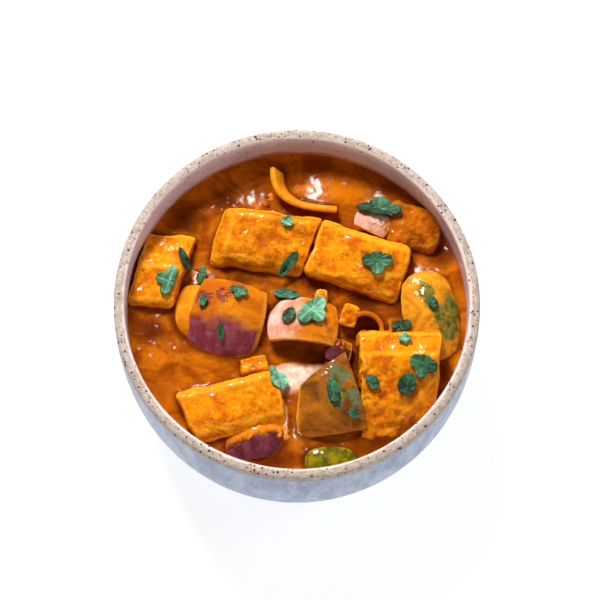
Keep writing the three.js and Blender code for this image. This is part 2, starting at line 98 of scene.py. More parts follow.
# How far in from the wall's side, and how far below the top, the rounded rim passes on its way over.
RIM_OUTSIDE = ((0.1, 0.9), (0.45, 0.45), (1.0, 0.15), (1.6, 0.03), (2.2, 0))
RIM_INSIDE = ((1.5, 0.05), (0.9, 0.25), (0.4, 0.65), (0.12, 1.3), (0.02, 2.4))
BOWL_SIDES = 224
FIT_GAP = 0.02
# What is left of the potter's hand: an oval, ripples round the wall and throwing rings up it.
HAND_OVAL = 0.16
HAND_RIPPLE = 0.06
THROWING_RING = 0.05
RING_PITCH = 4.2


class Wire:
    """An output of a material's nodes. Sums on it add Math nodes, and node() adds any other node."""

    def __init__(self, tree, socket=None):
        self.tree = tree
        self.socket = socket

    def node(self, kind, values=None, out=0, stops=(), **settings):
        made = self.tree.nodes.new("ShaderNode" + kind)
        for key, value in settings.items():
            setattr(made, key, value)
        for i, (position, colour) in enumerate(stops):
            elements = made.color_ramp.elements
            element = elements[i] if i < len(elements) else elements.new(position)
            element.position = position
            element.color = colour
        for key, value in (values or {}).items():
            if isinstance(value, Wire):
                self.tree.links.new(value.socket, made.inputs[key])
            else:
                made.inputs[key].default_value = value
        return Wire(self.tree, made.outputs[out])

    def sum(self, operation, *values):
        return self.node("Math", dict(enumerate(values)), operation=operation)

    def __add__(self, other):
        return self.sum("ADD", self, other)

    def __sub__(self, other):
        return self.sum("SUBTRACT", self, other)

    def __mul__(self, other):
        return self.sum("MULTIPLY", self, other)

    def __rsub__(self, other):
        return self.sum("SUBTRACT", other, self)

    __radd__ = __add__
    __rmul__ = __mul__

    def over(self, other):
        return self.sum("MAXIMUM", self, other)

    def ease(self, low, high):
        values = {"Value": self, "From Min": low, "From Max": high}
        return self.node("MapRange", values, interpolation_type="SMOOTHSTEP")

    def tint(self, below, above):
        return self.node("Mix", {0: self, 6: below, 7: above}, out=2, data_type="RGBA")

    def noise(self, size, detail=2.0, roughness=0.5, distortion=0.0):
        values = {"Vector": self, "Scale": 1 / (size * MM), "Detail": detail}
        values.update({"Roughness": roughness, "Distortion": distortion})
        return self.node("TexNoise", values)

    def cells(self, size, out="Distance"):
        return self.node("TexVoronoi", {"Vector": self, "Scale": 1 / (size * MM)}, out=out)

    def scaled(self, *factors):
        return self.node("Mapping", {"Vector": self, "Scale": factors})

    def attribute(self, name):
        return self.node("Attribute", out="Fac", attribute_name=name)

    def relief(self, height):
        return self.node("Bump", {"Height": self, "Distance": height * MM, "Strength": 1.0}, out="Normal")


def srgb(red, green, blue):
    """The linear colour of an 8-bit one."""
    parts = [part / 255 for part in (red, green, blue)]
    return [p / 12.92 if p <= 0.04045 else ((p + 0.055) / 1.055) ** 2.4 for p in parts] + [1.0]


def new_material(name):
    material = bpy.data.materials.new(name)
    material.use_nodes = True
    return material, Wire(material.node_tree).node("TexCoord", out="Object")


def set_surface(material, **values):
    """Feeds the material's shader. An underscore in a name stands for the space in the socket's."""
    shader = material.node_tree.nodes["Principled BSDF"]
    for key, value in values.items():
        socket = shader.inputs[key.replace("_", " ")]
        if isinstance(value, Wire):
            material.node_tree.links.new(value.socket, socket)
        else:
            socket.default_value = value


def vertices_of(piece):
    flat = np.empty(len(piece.data.vertices) * 3, np.float32)
    piece.data.vertices.foreach_get("co", flat)
    return flat.reshape(-1, 3).astype(float)


def set_vertices(piece, points):
    piece.data.vertices.foreach_set("co", np.asarray(points, np.float32).ravel())
    piece.data.update()


def set_attribute(piece, name, values):
    attribute = piece.data.attributes.new(name, "FLOAT", "POINT")
    attribute.data.foreach_set("value", np.asarray(values, np.float32))


def new_piece(name, add_primitive, **settings):
    """Adds a primitive as the start of a piece, with nothing else selected."""
    bpy.ops.object.select_all(action="DESELECT")
    add_primitive(**settings)
    piece = bpy.context.object
    piece.name = name
    return piece


def select_only(piece):
    bpy.ops.object.select_all(action="DESELECT")
    piece.select_set(True)
    bpy.context.view_layer.objects.active = piece


def apply_modifiers(piece):
    select_only(piece)
    for modifier in list(piece.modifiers):
        bpy.ops.object.modifier_apply(modifier=modifier.name)


def subdivide(piece, levels):
    modifier = piece.modifiers.new("rounding", "SUBSURF")
    modifier.levels = levels
    modifier.render_levels = levels
    apply_modifiers(piece)


def roughen(piece, grain, height, group=""):
    """Raises and sinks the surface by cloudy relief with that grain, all over or by a group's weights."""
    texture = bpy.data.textures.new(f"{piece.name}_{grain}", "CLOUDS")
    texture.noise_scale = grain * MM
    modifier = piece.modifiers.new("relief", "DISPLACE")
    modifier.texture = texture
    modifier.strength = height * MM
    modifier.mid_level = 0.5
    modifier.vertex_group = group
    apply_modifiers(piece)


def serve(piece, material, slot, *nodes):
    """Gives a finished piece its surface, and puts it in the dish in place of its solids."""
    piece.data.materials.clear()
    piece.data.materials.append(material)
    select_only(piece)
    bpy.ops.object.shade_smooth()
    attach(piece, "root")
    if nodes:
        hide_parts(*nodes)


def outer_radius(depth):
    """Radius of the bowl's outside at a depth below the rim."""
    t = depth / WALL_DEPTH
    return RIM_RADIUS + WALL_SWELL * t - WALL_DRAW_IN * t**WALL_DRAW_POWER


def inner_radius(depth):
    """Radius of the bowl's inside at a depth below the rim. The wall thickens from the rim down."""
    thickening = np.minimum(1, depth / (0.4 * WALL_DEPTH))
    return outer_radius(depth) - RIM_WIDTH - (WALL_WIDTH - RIM_WIDTH) * thickening


def inside_profile(top, steps):
    """Radius and height of the bowl's inside, from the floor's edge up to a height."""
    foot = inner_radius(BOWL_HEIGHT - FLOOR_CURVE_HEIGHT)
    profile = []
    for i in range(12):
        angle = i / 12 * math.pi / 2
        radius = FLOOR_RADIUS + (foot - FLOOR_RADIUS) * math.sin(angle)
        profile.append((radius, FLOOR_CURVE_HEIGHT - (FLOOR_CURVE_HEIGHT - FLOOR_HEIGHT) * math.cos(angle)))
    for i in range(steps + 1):
        height = FLOOR_CURVE_HEIGHT + (top - FLOOR_CURVE_HEIGHT) * i / steps
        profile.append((inner_radius(BOWL_HEIGHT - height), height))
    return profile


def bowl_profile():
    """Radius and height all round the wall, from the middle underneath to the middle of the floor."""
    profile = [(0, FOOT_RECESS), (FOOT_RADIUS - FOOT_WIDTH - RECESS_SLOPE, FOOT_RECESS)]
    profile += [(FOOT_RADIUS - FOOT_WIDTH, 0), (FOOT_RADIUS - FOOT_CHAMFER, 0), (FOOT_RADIUS, FOOT_CHAMFER)]
    profile += [(FOOT_RADIUS + FOOT_FLARE, FOOT_HEIGHT)]
    low = BOWL_HEIGHT - WALL_DEPTH
    belly = outer_radius(WALL_DEPTH)
    for i in range(1, 10):
        angle = i / 10 * math.pi / 2
        radius = FOOT_RADIUS + (belly - FOOT_RADIUS) * math.sin(angle)
        profile.append((radius, FOOT_HEIGHT + (low - FOOT_HEIGHT) * (1 - math.cos(angle))))
    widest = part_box("bowl")[1].x / MM - FIT_GAP
    for depth in np.linspace(WALL_DEPTH, 1.6, 40):
        profile.append((min(widest, outer_radius(depth)), BOWL_HEIGHT - depth))
    profile += [(RIM_RADIUS - inward, BOWL_HEIGHT - down) for inward, down in RIM_OUTSIDE]
    profile += [(RIM_RADIUS - RIM_WIDTH + outward, BOWL_HEIGHT - down) for outward, down in RIM_INSIDE]
    return profile + inside_profile(BOWL_HEIGHT - LIP_DEPTH, 34)[::-1] + [(0, FLOOR_HEIGHT)]


profile = bowl_profile()
bowl = new_piece("stoneware_bowl", bpy.ops.mesh.primitive_plane_add, size=MM)
bpy.ops.object.mode_set(mode="EDIT")
bpy.ops.mesh.select_all(action="SELECT")
bpy.ops.mesh.merge(type="CENTER")
bpy.ops.transform.translate(value=(profile[0][0] * MM, 0, profile[0][1] * MM))
for (r0, z0), (r1, z1) in zip(profile, profile[1:]):
    step = ((r1 - r0) * MM, 0, (z1 - z0) * MM)
    bpy.ops.mesh.extrude_vertices_move(TRANSFORM_OT_translate={"value": step})
bpy.ops.mesh.select_all(action="SELECT")
bpy.ops.mesh.spin(steps=BOWL_SIDES, angle=2 * math.pi, center=(0, 0, 0), axis=(0, 0, 1))
bpy.ops.mesh.select_all(action="SELECT")
bpy.ops.mesh.remove_doubles(threshold=0.01 * MM)
bpy.ops.mesh.normals_make_consistent(inside=False)
bpy.ops.object.mode_set(mode="OBJECT")

points = vertices_of(bowl) / MM
radii = np.hypot(points[:, 0], points[:, 1])
turns = np.arctan2(points[:, 1], points[:, 0])
line = np.array(profile)
lengths = np.concatenate([[0], np.cumsum(np.hypot(*np.diff(line, axis=0).T))])
rim_middle = lengths[np.argmax(line[:, 1])]
nearest = np.argmin((radii[:, None] - line[:, 0]) ** 2 + (points[:, 2, None] - line[:, 1]) ** 2, axis=1)
set_attribute(bowl, "across_rim", lengths[nearest] - rim_middle)
hand = HAND_OVAL * (1 + np.sin(2 * turns + 1)) + HAND_RIPPLE * (1 + np.sin(5 * turns + points[:, 2] / 14))
rings = THROWING_RING * (1 + np.sin(points[:, 2] * 2 * math.pi / RING_PITCH + np.sin(turns)))
inward = np.where(points[:, 2] > FOOT_HEIGHT + 1, (hand + rings) / np.maximum(radii, 1), 0)
points[:, :2] *= (1 - inward)[:, None]
set_vertices(bowl, points * MM)

# The bands across the rim, by how far inwards over it they lie: sandy clay, the glaze's bright inner edge,
# and the thin darker glaze on the shoulder outside.
glaze, at = new_material("speckled_glaze")
across = at.attribute("across_rim") + (at.noise(5, 3) - 0.5) * 1.5
clay = across.ease(-3.3, -2.6) * (1 - across.ease(1.0, 1.5))
lip = across.ease(0.8, 1.2) * (1 - across.ease(1.7, 2.6))
shoulder = across.ease(-7.0, -3.4) * (1 - across.ease(-3.0, -2.4))
streaks = at.scaled(1, 1, 0.3).noise(5, 4, 0.6).ease(0.3, 0.7)
outer_glaze = streaks.tint(srgb(110, 127, 158), srgb(158, 171, 196))
outer_glaze = (shoulder * 0.8).tint(outer_glaze, srgb(138, 126, 122))
inner_glaze = at.noise(12, 3).ease(0.3, 0.75).tint(srgb(216, 208, 230), srgb(234, 230, 246))
glazed = across.ease(-0.5, 0.5).tint(outer_glaze, inner_glaze)
sand = at.noise(2.2, 3, 0.6).ease(0.35, 0.65).tint(srgb(184, 165, 154), srgb(210, 195, 188))
grain = at.noise(0.42, 2, 0.6).ease(0.48, 0.60)
sand = (grain * 0.75).tint(sand, srgb(142, 128, 112))
coloured = lip.tint(clay.tint(glazed, sand), srgb(238, 224, 219))
specks = 0
for size, reach, share in ((1.4, 0.34, 0.32), (3.2, 0.21, 0.36)):
    chance = at.node("SeparateColor", {"Color": at.cells(size, "Color")})
    radius = (chance - share).over(0.0) * (reach / (1 - share))
    speck = 1 - (at.cells(size) - radius).ease(-0.03, 0.04)
    specks = speck.over(specks)
speck_strength = specks * (0.3 + 0.65 * clay.over(shoulder).over(at.noise(3).ease(0.52, 0.6)))
coloured = speck_strength.tint(coloured, srgb(58, 42, 38))
height = at.node("SeparateXYZ", {"Vector": at}, out="Z")
# Orange at the gravy line on the inner wall: partly a sauce stain, partly painted bounce light from the
# gravy.
stain_and_bounce = (at.noise(6, 3) * 0.004 + 0.0545 - height).ease(-0.0022, 0.0018) * across.ease(4.0, 8.0)
coloured = (stain_and_bounce * 0.85).tint(coloured, srgb(190, 96, 30))
pits = at.noise(0.8, 3) * 0.3 + clay * at.noise(0.35, 2) - specks * 0.5
set_surface(glaze, Base_Color=coloured, Roughness=(0.34 + 0.3 * clay), Normal=pits.relief(0.16))
set_surface(glaze, Specular_IOR_Level=0.4)
serve(bowl, glaze, "stoneware", "bowl")

# ---------- the paneer ----------
# Blocks of fresh cheese cut by hand, stirred in the gravy until it coats them. The cheese has rounded edges,
# crumbly pores and dents, and the coat is thin on the edges and thick in the dips. The edges and creases are
# painted bright yellow, partly for the thin coat and partly as painted highlight. The lower and front sides
# are painted redder, partly for the gravy and partly as painted shade.

def placed(points, at, turn):
    """Points of a piece, turned (roll about Y, pitch about X, then yaw about Z) and put in its place."""
    yaw, pitch, roll = (math.radians(angle) for angle in turn)
    spin = Matrix.Rotation(yaw, 3, "Z") @ Matrix.Rotation(pitch, 3, "X") @ Matrix.Rotation(roll, 3, "Y")
    return points @ np.array(spin).T + np.array(at)


def unevenness(points, wavelength, seed):
    """Smooth unevenness, between -1 and 1, with waves about one wavelength long."""
    x, y, z = (points * 2 * math.pi / wavelength).T
    a = np.sin(x + 1.7 * seed + np.sin(0.7 * y + seed))
    b = np.sin(1.1 * y + 2.3 * seed + np.sin(0.6 * z - seed))
    c = np.sin(0.9 * z + 3.1 * seed + np.sin(0.8 * x + 2 * seed))
    return (a + b + c) / 3


def kept_inside(points):
    """Points pressed back to the bowl's inside where they would go through its wall."""
    radius = np.hypot(points[:, 0], points[:, 1])
    room = inner_radius(np.clip(BOWL_HEIGHT - points[:, 2], 0, WALL_DEPTH)) - 0.15
    points[:, :2] *= np.minimum(1, room / np.maximum(radius, 1))[:, None]
    return points


def cheese_block(name, size, at, turn, seed, round_edge=2.4, narrow=0, lean=0, bumps=0.5, slopes=(), cuts=31,
                 sauce_and_shade=(0.1, 0)):
    """A block with rounded edges. Its top sinks past each line in slopes: a direction, a distance, a rate.
    The two values of the gravy's coat are how thick it lies on it, and how much that grows towards the front,
    where the darker colour is partly painted shade. The lower sides darken too, partly gravy and partly
    painted shade."""
    piece = new_piece(name, bpy.ops.mesh.primitive_cube_add, size=1)
    bpy.ops.object.mode_set(mode="EDIT")
    bpy.ops.mesh.select_all(action="SELECT")
    bpy.ops.mesh.subdivide(number_cuts=cuts)
    bpy.ops.transform.resize(value=size)
    bpy.ops.object.mode_set(mode="OBJECT")
    raw = vertices_of(piece)
    size = np.array(size)
    core = np.clip(raw, round_edge - size / 2, size / 2 - round_edge)
    out = raw - core
    out /= np.linalg.norm(out, axis=1)[:, None]
    cut = core + out * round_edge
    cut += out * (bumps * unevenness(cut, BUMP_LENGTH, seed))[:, None]
    # Brighter along the rounded edges and the creases of the slopes: partly a thinner coat, partly painted
    # highlight.
    edge_coat_and_highlights = (1 - np.abs(out).max(axis=1)) / 0.3
    front = -cut[:, 1] / size[1]
    for toward, start, rate in slopes:
        way = math.radians(toward)
        past = cut[:, 0] * math.cos(way) + cut[:, 1] * math.sin(way) - start
        edge_coat_and_highlights = np.maximum(edge_coat_and_highlights, 0.8 * np.exp(-((past / CREASE_WIDTH) ** 2)) * (out[:, 2] > 0.3))
        cut[:, 2] -= rate * (past + np.hypot(past, SLOPE_EASE)) / 2 * (cut[:, 2] / size[2] + 0.5)
    cut[:, 0] = cut[:, 0] * (1 - narrow * front) + lean * front
    set_attribute(piece, "edge_coat_and_highlight", edge_coat_and_highlights)
    # The lower sides, and on some blocks the front, take the gravy's darker colour: partly gravy, partly
    # painted shade.
    below_top = np.clip((size[2] / 2 - raw[:, 2] - SAUCE_AND_SHADE_START) / SAUCE_AND_SHADE_DEPTH, 0, 1)
    set_attribute(piece, "sauce_and_shade", sauce_and_shade[0] + sauce_and_shade[1] * front + 0.6 * below_top)
    set_attribute(piece, "crumbly", np.clip(0.5 - 1.6 * raw[:, 0] / size[0] + 1.2 * front, 0, 1))
    set_vertices(piece, kept_inside(placed(cut, at, turn)) * MM)
    return piece


SLOPE_EASE = 1.5
BUMP_LENGTH = 15
CREASE_WIDTH = 1.6
# How far below the top the lower sides begin to darken, and over what depth: partly gravy, partly painted
# shade.
SAUCE_AND_SHADE_START = 3
SAUCE_AND_SHADE_DEPTH = 6
PANEER_BLOCKS = {
    "back_left": {"size": (38, 24, 22), "at": (-13, 28, 52), "turn": (-8, 7, 0), "narrow": 0.06, "lean": -4,
                  "slopes": ((180, 13.5, 1.0), (-90, 8, 1.0), (90, 9, 0.6)), "sauce_and_shade": (0.4, 0)},
    "back_right": {"size": (37, 23, 22), "at": (24, 19.6, 52), "turn": (-18, 5, 3), "narrow": -0.06,
                   "slopes": ((-72, 6.2, 0.55), (90, 9, 0.5)), "sauce_and_shade": (0.2, 0.4)},
    "left": {"size": (18.5, 30, 20), "at": (-52.5, 16.5, 51), "turn": (-6, 7, -3), "narrow": 0.1, "lean": -5,
             "slopes": ((90, 1, 0.4), (-90, 12.5, 0.8))},
    "front_left": {"size": (37, 21, 18), "at": (-24, -38.6, 51.5), "turn": (14, 7, 0), "narrow": 0.12,
                   "lean": 2, "slopes": ((-90, 6.5, 0.9), (90, 8.3, 0.6)), "sauce_and_shade": (-0.2, 0.2)},
    "front_right": {"size": (29.5, 41, 20), "at": (39, -28.8, 51.6), "turn": (0, 20, 0), "narrow": 0.14,
                    "lean": -1, "slopes": ((90, 12.5, 0.7), (-40, 8, 0.35)), "sauce_and_shade": (0.3, 0.7)},
    "far_right": {"size": (23, 18, 17), "at": (44.5, 34, 51.5), "turn": (-12, 0, 4), "round_edge": 5,
                  "bumps": 1, "sauce_and_shade": (0.75, 0)},
}
PANEER_CRUMBS = {
    "front": {"size": (10, 6, 5), "at": (-16.5, -22, 55.5), "turn": (10, 0, 0)},
    "centre": {"size": (6.5, 8, 7), "at": (20.5, -3, 57), "turn": (-20, 10, 0)},
    "back": {"size": (4, 7, 8), "at": (9.5, 4, 55.5), "turn": (-4, 5, 0)},
    "left": {"size": (4.5, 6, 5), "at": (-35, 8.5, 55), "turn": (20, 0, 0)},
}
# How high the cheese's coarse lumps stand, and the crumbly relief of the block that broke while it cooked.
LUMPS = 0.8
LUMPS_UNDER_GRAVY = 1.6
CRUMBS = 2.8

SAUCE_DEEP = srgb(88, 28, 1)
SAUCE_MID = srgb(148, 67, 2)
SAUCE_BRIGHT = srgb(203, 110, 5)
COAT_MID = srgb(190, 96, 4)
COAT_BRIGHT = srgb(222, 132, 10)


def sauce_colour(at, low=SAUCE_MID, high=SAUCE_BRIGHT):
    """Gravy between two colours, in swirls that are richer in cream and leaner, with deep red-brown spots."""
    swirls = at.scaled(1, 1.5, 1).noise(16, 4, 0.55, 1.2).ease(0.38, 0.66)
    spots = at.noise(2.6, 3, 0.6).ease(0.52, 0.78)
    return (spots * 0.38).tint(swirls.tint(low, high), SAUCE_DEEP)


cheese, at = new_material("coated_paneer")
edge_coat_and_highlight = (at.attribute("edge_coat_and_highlight") + (at.noise(4, 3) - 0.5) * 0.9).ease(0.25, 0.9)
coat = at.noise(6, 6, 0.68, 0.3).ease(0.40, 0.64)
pale = at.noise(2.8, 4, 0.65).ease(0.52, 0.66)
spots = at.noise(2.2, 3, 0.6).ease(0.56, 0.72)
colour = coat.tint(srgb(246, 152, 6), srgb(206, 98, 3))
colour = (pale * (1 - coat) * 0.75).tint(colour, srgb(254, 180, 40))
colour = (spots * 0.6).tint(colour, srgb(176, 76, 8))
# Painted shade and gravy: the lower and front sides turn to the gravy's darker colour.
sauce_and_shade = (at.attribute("sauce_and_shade") + (at.noise(5, 4, 0.6) - 0.5) * 0.8).ease(0.2, 0.8)
colour = sauce_and_shade.tint(colour, sauce_colour(at))
# Painted highlight, partly the thin coat: edges and creases are tinted bright yellow.
colour = (edge_coat_and_highlight * (0.8 - 0.6 * sauce_and_shade)).tint(colour, srgb(255, 176, 36))
fine = at.noise(1.5, 4, 0.6)
set_surface(cheese, Base_Color=colour, Roughness=0.6, Normal=fine.relief(0.6))
set_surface(cheese, Subsurface_Weight=0.25, Subsurface_Radius=(1.0, 0.35, 0.1), Subsurface_Scale=2 * MM)
set_surface(cheese, Specular_IOR_Level=0.04)
set_surface(cheese, Coat_Roughness=0.15, Coat_Weight=at.noise(2.2, 3).ease(0.48, 0.68))

for seed, (name, cut) in enumerate(PANEER_BLOCKS.items(), 1):
    block = cheese_block("paneer_block_" + name, seed=seed, **cut)
    subdivide(block, 1)
    if name == "front_right":
        crumbly = block.vertex_groups.new(name="crumbly")
        for i, weight in enumerate(block.data.attributes["crumbly"].data):
            crumbly.add([i], weight.value, "REPLACE")
        roughen(block, 2.8, CRUMBS, group="crumbly")
    roughen(block, 9, 1.3)
    roughen(block, 4, LUMPS_UNDER_GRAVY if name == "far_right" else LUMPS)
    roughen(block, 1.8, 0.3)
    serve(block, cheese, "paneer", "paneer_" + name)

for seed, (name, cut) in enumerate(PANEER_CRUMBS.items(), 7):
    crumb = cheese_block("paneer_bit_" + name, seed=seed, round_edge=1.2, bumps=0.7, cuts=13, **cut)
    subdivide(crumb, 1)
    roughen(crumb, 2.4, 1.2)
    serve(crumb, cheese, "paneer", "paneer_crumb_" + name)

# ---------- the onion ----------
# Red onion cut in wedges, whose layers came apart in the pan. Each petal is a cupped sheet, purple on its
# skin side with fine lengthwise veins, and glossy where it is cooked through. Rings are slices of the same
# layers.


def thickened(piece, thickness):
    """Gives a sheet its thickness, half to each side, and rounds its edges."""
    wall = piece.modifiers.new("thickness", "SOLIDIFY")
    wall.thickness = thickness * MM
    wall.offset = 0
    wall.use_even_offset = True
    apply_modifiers(piece)
    subdivide(piece, 1)
    return piece


def spots_on(x, y, spots):
    """How near each point is to one of some spots, each a middle and a reach: 1 in it, and 0 far from all."""
    nearness = np.zeros_like(x)
    for (middle_x, middle_y), reach in spots:
        nearness = np.maximum(nearness, np.exp(-((x - middle_x) ** 2 + (y - middle_y) ** 2) / reach**2))
    return nearness


def bent_sheet(name, size, bend, at, turn, thickness, seed, corner=0.5, curl=0.6, taper=0, skew=0, bare=()):
    """A cupped sheet: a flat grid bent into an arc along each side. It can be narrower at the back, and its
    back edge can run askew. No gravy lies in the spots in bare, whose places go from -1 to 1 each way."""
    grid = {"x_subdivisions": SHEET_CELLS, "y_subdivisions": SHEET_CELLS, "size": 2}
    piece = new_piece(name, bpy.ops.mesh.primitive_grid_add, **grid)
    u, v, _ = vertices_of(piece).T
    width, length = size
    wide, long = (math.radians(angle) for angle in bend)
    a = wide / 2 * u * np.sqrt(1 - corner * v * v / 2)
    b = long / 2 * v * np.sqrt(1 - corner * u * u / 2)
    x = width / wide * np.sin(a)
    y = length / long * np.sin(b)
    sag = width / wide * (1 - np.cos(a)) + length / long * (1 - np.cos(b))
    flat = np.stack([x, y, np.zeros_like(x)], axis=1)
    z = curl * u * v - sag + 0.5 * unevenness(flat, 16, seed)
    x *= 1 - taper * v
    y += skew * u * (v + 1) / 2
    set_attribute(piece, "lengthwise", v)
    set_attribute(piece, "crosswise", u)
    set_attribute(piece, "bare", spots_on(u, v, bare))
    set_vertices(piece, kept_inside(placed(np.stack([x, y, z], axis=1), at, turn)) * MM)
    return thickened(piece, thickness)


SHEET_CELLS = 44
ONION_PETALS = {
    "petal_left": {"size": (30, 31), "bend": (75, 80), "at": (-27, -5, 62), "turn": (-14, 14, 0),
                   "bare": (((-0.75, 0.43), 0.3), ((-0.2, 0.58), 0.25))},
    "layer_left": {"size": (27, 26), "bend": (75, 80), "at": (-37, -3.5, 58), "turn": (-8, 14, -10)},
    "petal_centre": {"size": (30, 20), "bend": (100, 45), "at": (2.5, -4.6, 61.5), "turn": (-4, -16, 0)},
    "petal_front": {"size": (27, 14), "bend": (60, 70), "at": (-14.5, -51.5, 56), "turn": (12, 6, 0),
                    "bare": (((0, -0.5), 0.8),)},
    "sliver_back": {"size": (14, 9), "bend": (40, 40), "at": (29.5, 34.5, 61), "turn": (-22, -8, 6),
                    "bare": (((0, 0), 3),)},
    "sliver_centre": {"size": (10, 9), "bend": (50, 40), "at": (16, -17, 57.5), "turn": (-15, 5, 5),
                      "bare": (((0, 0), 1.5),)},
}
ONION_THICKNESS = 2.1
ONION_FLUSH = srgb(164, 56, 56)
ONION_EDGE = srgb(226, 144, 34)


def onion_material(name, skin, flesh, coat_low, coat_high, along=0.0, across=0.0, rim=0.0, flush=0.0):
    """Onion with veins along the petal. Gravy coats it past the low value of a mask that can grow along it
    and across it. The rim is how bright its front edge is, and the flush how red its bare spots are."""
    material, at = new_material(name)
    crosswise = at.attribute("crosswise")
    lengthwise = at.attribute("lengthwise")
    fibres = at.node("CombineXYZ", {"X": crosswise * 13 + at.noise(7) * 2, "Y": lengthwise * 1.2})
    veins = fibres.node("TexNoise", {"Vector": fibres, "Scale": 1.0, "Detail": 2.0}).ease(0.3, 0.75)
    bloom = at.noise(5, 3).ease(0.4, 0.7)
    colour = (veins * 0.2 + bloom * 0.6).tint(skin, flesh)
    bare = at.attribute("bare") * at.noise(3.5, 5, 0.65, 1.2).ease(0.36, 0.62)
    colour = (bare * flush).tint(colour, ONION_FLUSH)
    mask = at.noise(8, 2) * 0.5 + 0.25 + lengthwise * along + crosswise * across
    mask = (mask - bare * 0.6).ease(coat_low, coat_high)
    colour = mask.tint(colour, sauce_colour(at, COAT_MID, COAT_BRIGHT))
    edge = crosswise.ease(0.80, 0.93).over(rim * lengthwise.ease(-0.7, -0.95))
    colour = (edge * 0.8).tint(colour, ONION_EDGE)
    height = veins * (1 - mask) * 0.1 + mask * (0.4 + at.noise(1.5, 4, 0.6))
    set_surface(material, Base_Color=colour, Roughness=0.45 + 0.15 * mask, Normal=height.relief(0.4))
    set_surface(material, Specular_IOR_Level=0.06, Coat_Roughness=0.15)
    set_surface(material, Coat_Weight=at.noise(3, 3).ease(0.54, 0.72) * 0.8)
    set_surface(material, Subsurface_Weight=0.15, Subsurface_Radius=(1.0, 0.4, 0.3))
    set_surface(material, Subsurface_Scale=1.5 * MM)
    return material


PURPLE = (srgb(126, 48, 62), srgb(176, 98, 116))
DARK_PURPLE = (srgb(84, 28, 34), srgb(140, 70, 84))
PALE_PINK = (srgb(214, 150, 126), srgb(252, 226, 212))
GRAVY_ORANGE = (srgb(222, 130, 14), srgb(248, 176, 44))

purple_onion = onion_material("purple_onion", *PURPLE, 0.36, 0.54, along=0.50, flush=0.7)
dark_onion = onion_material("dark_onion", *DARK_PURPLE, 0.36, 0.60, along=0.50)
pale_onion = onion_material("pale_onion", *PALE_PINK, 0.32, 0.56, across=0.30, rim=0.8)
coated_onion = onion_material("coated_onion", *GRAVY_ORANGE, 0.44, 0.70, along=-0.25)

ONION_LOOKS = {"layer_left": coated_onion, "petal_back": coated_onion, "petal_centre": pale_onion,
               "sliver_back": pale_onion, "petal_front": dark_onion, "sliver_centre": dark_onion}


def serve_onion(piece, name):
    material = ONION_LOOKS.get(name, purple_onion)
    slot = "coated_onion" if material is coated_onion else "onion"
    serve(piece, material, slot, "onion_" + name)


for seed, (name, cut) in enumerate(ONION_PETALS.items(), 1):
    petal = bent_sheet("onion_" + name + "_cooked", thickness=ONION_THICKNESS, seed=seed, **cut)
    roughen(petal, 4, 0.5)
    serve_onion(petal, name)

ONION_STRIPS = {
    "ring_centre": {"radius": 7, "arc": 170, "height": 8, "thickness": 1.8, "lean": -0.8,
                    "at": (26, -9, 57), "turn": (35, 6, 0)},
    "ring_right": {"radius": 11, "arc": 50, "height": 9, "thickness": 1.4, "lean": -0.6,
                   "at": (25.5, -8, 56), "turn": (-12, 0, 0)},
    "petal_back": {"path": ((-7.5, 58), (-8, 46), (-1, 43), (16, 42)), "height": 9, "thickness": 2.2,
                   "lean": 2.4, "at": (0, 0, 55.5), "turn": (0, 0, 0)},
}


def arc_path(u, radius, arc):
    """Points along an arc, and the directions out of it."""
    angle = math.radians(arc) / 2 * u
    way = np.stack([np.cos(angle), np.sin(angle)], axis=1)
    return radius * way, way


def curved_path(u, path):
    """Points along a cubic curve with those control points, and the directions to the right of it."""
    t = (u[:, None] + 1) / 2
    a, b, c, d = (np.array(point, float) for point in path)
    points = a * (1 - t) ** 3 + 3 * b * t * (1 - t) ** 2 + 3 * c * t**2 * (1 - t) + d * t**3
    along = 3 * (b - a) * (1 - t) ** 2 + 6 * (c - b) * t * (1 - t) + 3 * (d - c) * t**2
    along /= np.linalg.norm(along, axis=1)[:, None]
    return points, np.stack([along[:, 1], -along[:, 0]], axis=1)


for name, cut in ONION_STRIPS.items():
    grid = {"x_subdivisions": 48, "y_subdivisions": 12, "size": 2}
    strip = new_piece("onion_" + name + "_cooked", bpy.ops.mesh.primitive_grid_add, **grid)
    u, v, _ = vertices_of(strip).T
    points, out = curved_path(u, cut["path"]) if "path" in cut else arc_path(u, cut["radius"], cut["arc"])
    points += out * (cut["lean"] * v)[:, None]
    standing = np.stack([points[:, 0], points[:, 1], v * cut["height"] / 2], axis=1)
    set_attribute(strip, "lengthwise", v)
    set_attribute(strip, "crosswise", u * 0.8)
    set_vertices(strip, kept_inside(placed(standing, cut["at"], cut["turn"])) * MM)
    thickened(strip, cut["thickness"])
    serve_onion(strip, name)

# ---------- the green pepper ----------
# Squares of green pepper, softened in the gravy: thick waxy walls with an olive skin, rounded at the cut
# edges, with streaks of gravy and yellow-green flesh where the coat is thin.

PEPPER_PIECES = {
    "right": {"size": (22, 36), "bend": (95, 60), "at": (52, -3, 60), "turn": (10, 8, 6), "corner": 0.9,
              "bare": (((-0.1, 0.45), 0.3), ((0.75, 0.1), 0.4), ((0.5, -0.3), 0.35), ((0.2, 0.0), 0.25))},
    "front": {"size": (24, 26), "bend": (60, 50), "at": (11.5, -37.5, 60.5), "turn": (8, 10, -8),
              "corner": 0.15, "taper": 0.2, "skew": 5.5,
              "bare": (((0.5, 0.5), 0.35), ((0.35, 0.0), 0.3), ((0.85, -0.1), 0.3))},
    "sliver": {"size": (20, 10), "bend": (50, 50), "at": (12.5, -59.5, 54.5), "turn": (2, 4, 0),
               "corner": 0.8, "bare": (((0, 0), 4),)},
}
PEPPER_WALL = 3.6
